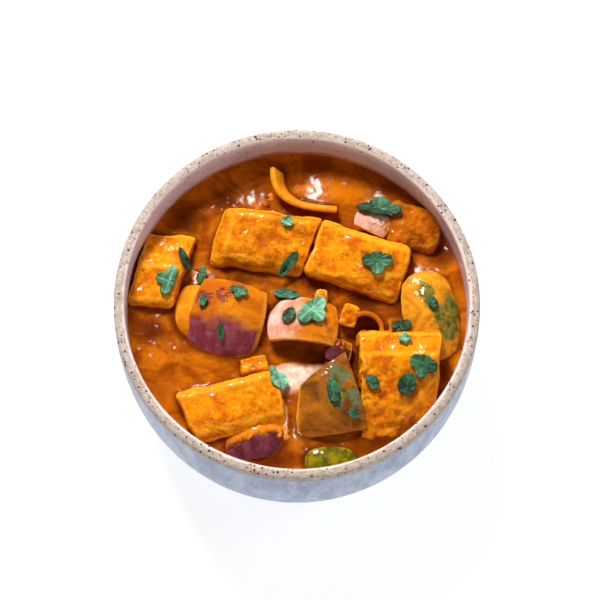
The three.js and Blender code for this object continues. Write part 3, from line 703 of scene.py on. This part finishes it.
# How bright the coat of gravy is on each piece, and how strongly a painted grey reflection of the sky
# shows on its bare skin.
PEPPER_COAT_AND_SHEEN = {"right": (1, 0.3), "front": (0, 1), "sliver": (0, 0)}
SKIN_DARK = srgb(52, 62, 22)
SKY_SHEEN_GREY = srgb(96, 110, 88)
PEPPER_CUT_EDGE = srgb(236, 168, 44)

green_pepper, at = new_material("green_pepper")
mottle = at.noise(4, 4, 0.6, 0.4).ease(0.35, 0.65)
colour = mottle.tint(srgb(92, 88, 8), srgb(150, 132, 8))
colour = (at.noise(3, 3).ease(0.50, 0.64) * 0.7).tint(colour, SKIN_DARK)
# Painted reflection: grey patches of sky sheen on the bare skin.
film = at.attribute("film") * at.noise(4, 3, 0.6, 0.8).ease(0.36, 0.56)
colour = (film * 0.85).tint(colour, SKY_SHEEN_GREY)
mask = (at.noise(6, 4, 0.55, 0.6) - at.attribute("bare") * 0.52 + 0.16).ease(0.28, 0.55)
coat = sauce_colour(at, srgb(112, 54, 4), srgb(186, 104, 8))
coat = at.attribute("bright").tint(coat, sauce_colour(at, srgb(216, 122, 14), srgb(250, 172, 36)))
colour = (mask * 0.9).tint(colour, coat)
colour = (at.attribute("crosswise").ease(-0.82, -0.97) * 0.8).tint(colour, PEPPER_CUT_EDGE)
height = mask * 0.3 + at.noise(1.5, 4, 0.6)
set_surface(green_pepper, Base_Color=colour, Roughness=0.55, Normal=height.relief(0.4))
set_surface(green_pepper, Specular_IOR_Level=0.04)
set_surface(green_pepper, Coat_Roughness=0.15, Coat_Weight=at.noise(2.4, 3).ease(0.52, 0.70))
set_surface(green_pepper, Subsurface_Weight=0.1, Subsurface_Radius=(0.6, 0.6, 0.1))
set_surface(green_pepper, Subsurface_Scale=2 * MM)

for seed, (name, cut) in enumerate(PEPPER_PIECES.items(), 1):
    piece = bent_sheet("pepper_" + name + "_cooked", thickness=PEPPER_WALL, curl=0.4, seed=seed, **cut)
    for look, strength in zip(("bright", "film"), PEPPER_COAT_AND_SHEEN[name]):
        set_attribute(piece, look, np.full(len(piece.data.vertices), strength))
    roughen(piece, 5, 0.7)
    serve(piece, green_pepper, "pepper", "pepper_" + name)

# ---------- the gravy ----------
# Tomato and onion cooked down with cream: thick enough to stand in soft heaps, to climb the sides of what
# lies in it and to sink into hollows between the pieces. It fills the bowl down to its floor.

GRAVY_LEVEL = 53.5
GRAVY_MOUNDS = (
    # middle, reach, rise
    ((-40, 38), 12, 0.6),
    ((12, 48), 9, 2.2),
    ((-1, 53), 6, -1.5),
    ((40, 40), 14, 2),
    ((57, 14), 9, 3),
    ((-48, -22), 12, 1.6),
    ((0, -52), 12, 1.2),
    ((8, -12), 9, -3),
    ((26, -26), 6, -3),
    ((58, 27), 6, -2.5),
    ((0, 10), 25, 1.5),
)
# Spots where the gravy is painted dark red-brown, partly deep gravy and partly painted shade, and spots where
# it is wet and shines: the middle and reach of each.
GRAVY_DEEP_AND_SHADE_SPOTS = (
    ((-43, 38), 9), ((-28, 47), 7), ((-56, -7), 7), ((-10, -60), 10), ((30, -50), 12), ((56, 22), 7),
    ((8, 13), 8), ((21, -17), 8), ((-22, 12), 6), ((26, 5), 9), ((56, -25), 6), ((41, 1), 6),
)
GRAVY_WET = (
    ((8, 49.5), 7), ((-16, 45.5), 5), ((-40, 15), 4), ((-1, -50), 6), ((59, 25), 4), ((46, 14), 3.5),
    ((-49, 23), 4), ((30, 46), 5), ((-36, -32), 4),
)
GRAVY_CELLS = 280
SIDE_TOP = 50
# The gravy climbs what stands in it: how high, and how far from it the climb begins.
CLIMB, CLIMB_REACH = 0.9, 1.0
WALL_CLIMB, WALL_CLIMB_REACH = 1.2, 1.4
# Painted shade darkens the gravy this near to a piece, and pieces farther off than the second value
# aren't looked for.
SHADE_REACH, FAR = 2.5, 12


def gravy_height(x, y):
    """Height of the gravy's heaps and hollows, before it climbs the sides of the pieces and of the bowl."""
    height = GRAVY_LEVEL + 0.5 * unevenness(np.stack([x, y, np.zeros_like(x)], axis=1), 17, 4)
    for (mx, my), reach, rise in GRAVY_MOUNDS:
        height += rise * np.exp(-((x - mx) ** 2 + (y - my) ** 2) / reach**2)
    return height


def surface_tree(pieces):
    """All faces of some pieces, to measure to."""
    points, faces = [], []
    for piece in pieces:
        base = len(points)
        points.extend(v.co for v in piece.data.vertices)
        faces.extend([i + base for i in p.vertices] for p in piece.data.polygons)
    return BVHTree.FromPolygons(points, faces)


def dished(u, v):
    """Points of a square spread evenly over a disc of radius 1."""
    big, small = np.where(np.abs(u) > np.abs(v), (u, v), (v, u))
    ratio = np.divide(small, big, out=np.zeros_like(big), where=big != 0)
    angle = math.pi / 4 * ratio
    near, far = big * np.cos(angle), big * np.sin(angle)
    return np.where(np.abs(u) > np.abs(v), (near, far), (far, near))


def dressed_food():
    """The finished pieces in the bowl so far, without the CAD solids that they replace."""
    return [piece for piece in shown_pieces() if piece is not bowl and "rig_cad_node" not in piece]


pieces_tree = surface_tree(dressed_food())

grid = {"x_subdivisions": GRAVY_CELLS, "y_subdivisions": GRAVY_CELLS, "size": 2}
gravy = new_piece("gravy_thick", bpy.ops.mesh.primitive_grid_add, **grid)
u, v, _ = vertices_of(gravy).T
x, y = dished(u, v)
edge = inner_radius(BOWL_HEIGHT - GRAVY_LEVEL) + 0.2
x *= edge
y *= edge
z = gravy_height(x, y)
beside = []
for place in zip(x, y, z):
    found = pieces_tree.find_nearest(Vector(place) * MM, FAR * MM)
    beside.append(found[3] / MM if found[0] else FAR)
beside = np.array(beside)
z += CLIMB * np.exp(-beside / CLIMB_REACH)
z += WALL_CLIMB * np.exp(-(edge - np.hypot(x, y)) / WALL_CLIMB_REACH)
set_attribute(gravy, "deep_and_shade", np.maximum(np.exp(-beside / SHADE_REACH), spots_on(x, y, GRAVY_DEEP_AND_SHADE_SPOTS)))
set_attribute(gravy, "wet", spots_on(x, y, GRAVY_WET))
set_vertices(gravy, np.stack([x, y, z], axis=1) * MM)

# The gravy's side follows the bowl's inside: its open edge is drawn down in rings and closed at the floor.
bpy.ops.object.mode_set(mode="EDIT")
bpy.ops.mesh.select_all(action="DESELECT")
bpy.ops.mesh.select_mode(type="EDGE")
bpy.ops.mesh.select_non_manifold()
for radius, height in inside_profile(SIDE_TOP, 4)[::-2]:
    bpy.ops.mesh.extrude_edges_move(TRANSFORM_OT_translate={"value": (0, 0, -0.1 * MM)})
    bpy.ops.object.mode_set(mode="OBJECT")
    chosen = np.zeros(len(gravy.data.vertices), bool)
    gravy.data.vertices.foreach_get("select", chosen)
    points = vertices_of(gravy)
    ring = points[chosen]
    ring[:, :2] *= (radius * MM / np.hypot(ring[:, 0], ring[:, 1]))[:, None]
    ring[:, 2] = height * MM
    points[chosen] = ring
    set_vertices(gravy, points)
    bpy.ops.object.mode_set(mode="EDIT")
bpy.ops.mesh.edge_face_add()
bpy.ops.mesh.select_all(action="SELECT")
bpy.ops.mesh.normals_make_consistent(inside=False)
bpy.ops.object.mode_set(mode="OBJECT")
roughen(gravy, 14, 1.6)
roughen(gravy, 5, 0.5)

sauce, at = new_material("masala_gravy")
colour = sauce_colour(at)
# Painted shade, partly deep gravy: deep red-brown near the pieces and in the listed spots.
deep_and_shade = (at.attribute("deep_and_shade") + (at.noise(6, 3) - 0.5) * 0.6).ease(0.1, 1.1)
colour = (deep_and_shade * 0.9).tint(colour, SAUCE_DEEP)
height = at.noise(3, 4, 0.6)
set_surface(sauce, Base_Color=colour, Roughness=0.6, Normal=height.relief(0.42))
set_surface(sauce, Specular_IOR_Level=0.02)
set_surface(sauce, Subsurface_Weight=0.1, Subsurface_Radius=(1.0, 0.3, 0.1), Subsurface_Scale=2 * MM)
wet = (at.attribute("wet") + (at.noise(4, 3) - 0.5) * 1.5 + 0.1).ease(0.2, 0.9)
glints = at.noise(2.2, 2).ease(0.60, 0.72)
set_surface(sauce, Coat_Roughness=0.2, Coat_Weight=(wet * 0.8).over(glints * 0.4))
serve(gravy, sauce, "gravy", "gravy")

# ---------- the masala ----------
# Bits of onion and tomato from the gravy's base, cooked soft. They lie in clusters between the pieces, half
# sunk in the gravy.

MASALA_CLUSTERS = (
    # middle, reach, number of bits, size
    ((17, -19), 5, 16, 2.2),
    ((28, -20), 5, 14, 2.2),
    ((35, -10), 5, 10, 2.2),
    ((-37, 12), 4, 12, 2.4),
    ((-15, 44), 6, 10, 2.2),
    ((50, 14), 6, 8, 2.2),
    ((-6, -46), 5, 10, 2.2),
)
# No bit lies this far from the middle, or higher than this above the plain gravy.
MASALA_LIMIT = 60
SOAKED = 1.5


def height_on(tree, x, y):
    """Height of the highest surface below the mouth of the bowl, at each of some points."""
    down = Vector((0, 0, -1))
    heights = []
    for px, py in zip(x, y):
        found = tree.ray_cast(Vector((px, py, 90)) * MM, down)
        heights.append(found[0].z / MM if found[0] else GRAVY_LEVEL)
    return np.array(heights)


food_tree = surface_tree(dressed_food())
draw = random.Random(7)
first_bit = new_piece("masala_bits", bpy.ops.mesh.primitive_uv_sphere_add, segments=8, ring_count=5, radius=1)
ball = vertices_of(first_bit)
bits = []
for (cx, cy), reach, count, size in MASALA_CLUSTERS:
    for _ in range(count):
        place = (draw.gauss(cx, reach / 2), draw.gauss(cy, reach / 2))
        turn = (draw.uniform(0, 180), draw.uniform(-20, 20), draw.uniform(-20, 20))
        shares = (draw.uniform(0.5, 1.1), draw.uniform(0.4, 0.8), draw.uniform(0.15, 0.35))
        radii = [size * share for share in shares]
        tone = draw.random()
        if math.hypot(*place) > MASALA_LIMIT:
            continue
        level = height_on(food_tree, place[:1], place[1:])[0]
        if level > gravy_height(*np.array(place)[:, None])[0] + SOAKED:
            continue
        bit = first_bit.copy()
        bit.data = first_bit.data.copy()
        bpy.context.collection.objects.link(bit)
        lumpy = ball * (1 + 0.25 * unevenness(ball + 10 * tone, 1.3, 1))[:, None]
        set_vertices(bit, placed(lumpy * radii, (*place, level - 0.4 * radii[2]), turn) * MM)
        set_attribute(bit, "tone", np.full(len(ball), tone))
        bits.append(bit)

masala_bits, at = new_material("masala_bits")
tones = ((0.0, srgb(130, 56, 2)), (0.5, srgb(190, 98, 4)), (1.0, srgb(228, 136, 16)))
colour = at.node("ValToRGB", {"Fac": at.attribute("tone")}, stops=tones)
set_surface(masala_bits, Base_Color=colour, Roughness=0.5, Normal=at.noise(1.5, 3).relief(0.4))
set_surface(masala_bits, Specular_IOR_Level=0.15)

bpy.data.objects.remove(first_bit)
for bit in bits:
    bit.select_set(True)
bpy.context.view_layer.objects.active = bits[0]
bpy.ops.object.join()
bits[0].name = "masala_bits"
serve(bits[0], masala_bits, "gravy")

# ---------- the cream ----------
# A spoonful of cream poured at the end. It has begun to sink in: pinkish white in the middle and marbled into
# the gravy at the edges.

CREAM_POOLS = {
    "pool": {"size": (27, 13), "at": (-1, -26.5), "turn": 12, "sunk": 0.0},
    "trail": {"size": (3, 17), "at": (-4.5, -43), "turn": 4, "sunk": 0.4},
}
CREAM_RISE = 0.75
CREAM_SUNK = 0.12
CREAM_SKIN = 0.7

gravy_tree = surface_tree([gravy])

cream, at = new_material("poured_cream")
thin = at.attribute("thin") + at.noise(6, 3, 0.55, 1.5) - 0.5
white = at.noise(5, 3, 0.5, 1.5).ease(0.3, 0.7).tint(srgb(224, 182, 150), srgb(248, 230, 216))
colour = thin.ease(0.15, 1.0).tint(white, sauce_colour(at, COAT_MID, COAT_BRIGHT))
set_surface(cream, Base_Color=colour, Roughness=0.5, Normal=at.noise(2.5, 4, 0.6).relief(0.4))
set_surface(cream, Subsurface_Weight=0.2, Subsurface_Radius=(1.0, 0.5, 0.3), Subsurface_Scale=2 * MM)

for name, pool in CREAM_POOLS.items():
    grid = {"x_subdivisions": 60, "y_subdivisions": 60, "size": 2}
    piece = new_piece("cream_" + name + "_poured", bpy.ops.mesh.primitive_grid_add, **grid)
    u, v, _ = vertices_of(piece).T
    x, y = dished(u, v)
    away = np.hypot(x, y)
    around = np.arctan2(y, x)
    outline = 1 + 0.12 * np.sin(3 * around + 1) + 0.07 * np.sin(5 * around)
    flat = np.stack([x * outline * pool["size"][0] / 2, y * outline * pool["size"][1] / 2, x * 0], axis=1)
    flat = placed(flat, (*pool["at"], 0), (pool["turn"], 0, 0))
    z = height_on(gravy_tree, flat[:, 0], flat[:, 1]) + CREAM_RISE * (1 - away**4) - CREAM_SUNK
    set_attribute(piece, "thin", away**2 + pool["sunk"])
    set_vertices(piece, np.stack([flat[:, 0], flat[:, 1], z], axis=1) * MM)
    depth = piece.modifiers.new("thickness", "SOLIDIFY")
    depth.thickness = CREAM_SKIN * MM
    depth.offset = -1
    apply_modifiers(piece)
    serve(piece, cream, "cream", "cream_" + name)

# ---------- the coriander ----------
# Fresh leaves torn from their stalks and scattered last. A leaflet is a thin wavy fan of one or three lobes
# with small rounded teeth. It is darker between its pale veins, and lies over edges and hollows without
# following them.

CORIANDER = (
    # size, lobes, place, turn, paleness (partly painted sheen)
    ((18, 12), 3, (32, 39.5), -8, 0.25),
    ((12, 12), 3, (31, 18), 180, 0.4),
    ((14, 13), 3, (5.5, -1.8), 227, 0.75),
    ((11, 5), 1, (-4, 6), -12, 0.45),
    ((4, 12.5), 1, (-3.6, 16.5), -38, 0.3),
    ((12, 11), 3, (-49, 10), 70, 0.6),
    ((3.5, 10), 1, (-43.5, 19), 22, 0.1),
    ((3.6, 9), 1, (-37, 13.5), -12, 0.4),
    ((7, 7), 3, (-22, 5.5), 160, 0.5),
    ((3.6, 5.4), 1, (-36, 1.5), -15, 0.5),
    ((2.8, 6.8), 1, (-29, -11), 0, 0.35),
    ((6.5, 13), 3, (-6.5, -29), 35, 0.9),
    ((11, 12), 3, (48, -24), 160, 0.3),
    ((7.5, 9.5), 1, (41.5, -32), -20, 0.15),
    ((5, 6), 3, (41, -14.5), 0, 0.85),
    ((6.5, 5), 1, (28.5, -31), -45, 0.4),
    ((8.5, 5), 1, (40, -7.5), 10, 0.2),
    ((5, 6), 3, (-4, 33), -30, 0.8),
    ((5, 7.6), 1, (-3.2, -4.5), -30, 0.2),
    ((5, 10.5), 1, (13.8, -34.8), 12, 0.35),
    ((4.3, 6), 1, (52, 0.5), 25, 0.3),
    ((4, 5), 1, (21.5, -43), 20, 0.4),
)
NOTCH = 0.3
DEEP_NOTCH = 0.5
CLEFT_LEAVES = {6}
LEAF_SIDES = 72
LEAF_CUTS = 7
LEAF_THICKNESS = 0.4
LEAF_GAP = 0.25
VEIN_WIDTH = 0.08

food_tree = surface_tree(dressed_food())

leaf_finish, at = new_material("coriander_leaf")
veins = at.attribute("vein")
# Paleness is partly each leaflet's own tone and partly painted sheen: mint where the waxy leaf would shine.
pale = at.attribute("paleness_and_sheen") + (at.noise(1.6, 3) - 0.5) * 0.6 + (veins - 0.5) * 0.3
stops = ((0.0, srgb(22, 60, 36)), (0.5, srgb(60, 122, 86)), (1.0, srgb(148, 216, 180)))
colour = at.node("ValToRGB", {"Fac": pale}, stops=stops)
set_surface(leaf_finish, Base_Color=colour, Roughness=0.45, Normal=at.noise(0.7, 2).relief(0.08))
set_surface(leaf_finish, Specular_IOR_Level=0.35)
set_surface(leaf_finish, Subsurface_Weight=0.1, Subsurface_Radius=(0.3, 1.0, 0.3), Subsurface_Scale=1 * MM)


def leaf_outline(angle, lobes, notch):
    """How far a leaflet reaches at an angle from its tip, as a share of its half size."""
    between = math.pi * 0.47
    from_tip = np.abs(np.arctan2(np.sin(angle), np.cos(angle)))
    from_lobe = np.abs(from_tip - np.where(from_tip > between / 2, between, 0))
    teeth = 0.08 * (1 - np.abs(np.cos(3 * from_lobe)))
    if lobes == 1:
        return 1 - 0.2 * (from_tip / math.pi) ** 2 - 0.6 * teeth
    return 1 - notch * np.minimum(from_lobe / (between / 2), 1.15) ** 3 - teeth


def leaf_veins(x, y, lobes):
    """1 on the veins of a leaflet and 0 between them. One runs down each lobe, with fine side veins."""
    away = np.hypot(x, y)
    if lobes == 1:
        side_veins = np.cos(2 * math.pi * (y - 0.8 * np.abs(x)) / 0.5)
        middle_vein = np.exp(-((x / VEIN_WIDTH) ** 2))
    else:
        around = np.abs(np.arctan2(x, y))
        lobe_angle = around - np.where(around > math.pi / 4, math.pi / 2, 0)
        side_veins = np.cos(2 * math.pi * lobe_angle / 0.45)
        middle_vein = np.exp(-((lobe_angle * away / VEIN_WIDTH) ** 2))
    return np.maximum(middle_vein, ((side_veins + 1) / 2) ** 3 * away) * np.clip((1 - away) * 8, 0, 1)


def settled(leaf, level, low):
    """Heights that bridge the hollows: each point moves to its neighbours' mean, but not into the food."""
    sides = np.array([edge.vertices for edge in leaf.data.edges])
    degree = np.bincount(sides.ravel(), minlength=len(level))
    for _ in range(40):
        total = np.bincount(sides[:, 0], level[sides[:, 1]], len(level))
        total += np.bincount(sides[:, 1], level[sides[:, 0]], len(level))
        level = np.maximum(total / degree, low + LEAF_GAP)
    return level


for number, (size, lobes, (cx, cy), turn, paleness_and_sheen) in enumerate(CORIANDER, 1):
    node = f"coriander_{number:02d}"
    circle = {"vertices": LEAF_SIDES, "radius": 1, "fill_type": "TRIFAN"}
    leaf = new_piece(node + "_leaf", bpy.ops.mesh.primitive_circle_add, **circle)
    bpy.ops.object.mode_set(mode="EDIT")
    bpy.ops.mesh.select_all(action="SELECT")
    bpy.ops.mesh.subdivide(number_cuts=LEAF_CUTS)
    bpy.ops.object.mode_set(mode="OBJECT")
    x, y, _ = vertices_of(leaf).T
    away = np.hypot(x, y)
    around = np.arctan2(x, y)
    notch = DEEP_NOTCH if number in CLEFT_LEAVES else NOTCH
    outline = 1 - (1 - leaf_outline(around, lobes, notch)) * away**2
    vein = leaf_veins(x, y, lobes)
    flat = np.stack([x * outline * size[0] / 2, y * outline * size[1] / 2, x * 0], axis=1)
    flat = placed(flat, (cx, cy, 0), (turn, 0, 0))
    cad_tree = surface_tree([frame["nodes"][node]])
    low = height_on(food_tree, flat[:, 0], flat[:, 1])
    level = []
    for px, py, food in zip(flat[:, 0], flat[:, 1], low):
        found = cad_tree.find_nearest(Vector((px, py, food + 2)) * MM)
        level.append(found[0].z / MM)
    level = settled(leaf, np.array(level), low)
    ruffle = 0.35 * np.sin(7 * around + number) * away**3 + 0.5 * away**2 * (paleness_and_sheen - 0.3)
    level += np.maximum(ruffle, 0) + 0.3 * (1 - vein) * away
    # The paleness, partly painted sheen, varies round each leaflet.
    set_attribute(leaf, "paleness_and_sheen", paleness_and_sheen + 0.25 * np.sin(around * 1.5 + number) * away)
    set_attribute(leaf, "vein", vein)
    set_vertices(leaf, np.stack([flat[:, 0], flat[:, 1], level], axis=1) * MM)
    blade = leaf.modifiers.new("thickness", "SOLIDIFY")
    blade.thickness = LEAF_THICKNESS * MM
    blade.offset = 1
    apply_modifiers(leaf)
    serve(leaf, leaf_finish, "coriander", node)

# ---------- the table, the light and the camera ----------
# A plain pale surface. Window light comes from behind the bowl, a little to the left, and weaker light from
# the front and the right. The camera looks steeply down from the eater's side.

floor = new_piece("table_top", bpy.ops.mesh.primitive_plane_add, size=3)
floor_finish, at = new_material("pale_table")
greys = at.noise(40, 3).tint((0.36, 0.36, 0.36, 1), (0.4, 0.4, 0.4, 1))
set_surface(floor_finish, Base_Color=greys, Roughness=0.8)
set_surface(floor_finish, Emission_Color=(0.96, 0.98, 1.0, 1), Emission_Strength=0.85)
floor.data.materials.append(floor_finish)

scene = bpy.context.scene
scene.view_settings.view_transform = "Standard"
world = bpy.data.worlds.new("room")
world.use_nodes = True
sky = world.node_tree.nodes["Background"]
sky.inputs["Color"].default_value = (1.0, 0.90, 0.80, 1)
sky.inputs["Strength"].default_value = 0.10
scene.world = world


def add_light(name, azimuth, elevation, distance, size, power, colour):
    """A square light that points at the food, from an azimuth seen from above (0 is behind the bowl)."""
    data = bpy.data.lights.new(name, "AREA")
    data.size = size
    data.energy = power
    data.color = colour
    light = bpy.data.objects.new(name, data)
    scene.collection.objects.link(light)
    side, up = math.radians(azimuth), math.radians(elevation)
    target = Vector((0, 0, 0.06))
    way = Vector((-math.sin(side) * math.cos(up), math.cos(side) * math.cos(up), math.sin(up)))
    light.location = target + way * distance
    light.rotation_euler = way.to_track_quat("Z", "Y").to_euler()


add_light("window", 22, 50, 1.0, 0.30, 14.0, (1.0, 0.97, 0.92))
add_light("front_fill", 178, 1, 1.2, 0.1, 3.0, (0.85, 0.92, 1.0))
add_light("room_fill", 175, 40, 1.2, 0.8, 2.5, (1.0, 0.82, 0.62))
add_light("side_fill", -80, 28, 1.0, 0.4, 3.0, (0.90, 0.95, 1.0))

LOOK_DOWN = 71.706
CAMERA_DISTANCE = 0.7
FOCUS_PIXELS = 1846.6
IMAGE_PIXELS = 600
AIM_RIGHT = 1.23
AIM_DOWN = 0.57

camera_data = bpy.data.cameras.new("camera")
camera_data.sensor_width = 36
camera_data.lens = 36 * FOCUS_PIXELS / IMAGE_PIXELS
camera = bpy.data.objects.new("camera", camera_data)
scene.collection.objects.link(camera)
tilt = math.radians(LOOK_DOWN)
back = Vector((0, -math.cos(tilt), math.sin(tilt)))
up = Vector((0, math.sin(tilt), math.cos(tilt)))
aim = Vector((AIM_RIGHT, 0, BOWL_HEIGHT)) * MM - up * AIM_DOWN * MM
camera.location = aim + back * CAMERA_DISTANCE
camera.rotation_euler = (math.pi / 2 - tilt, 0, 0)
scene.camera = camera
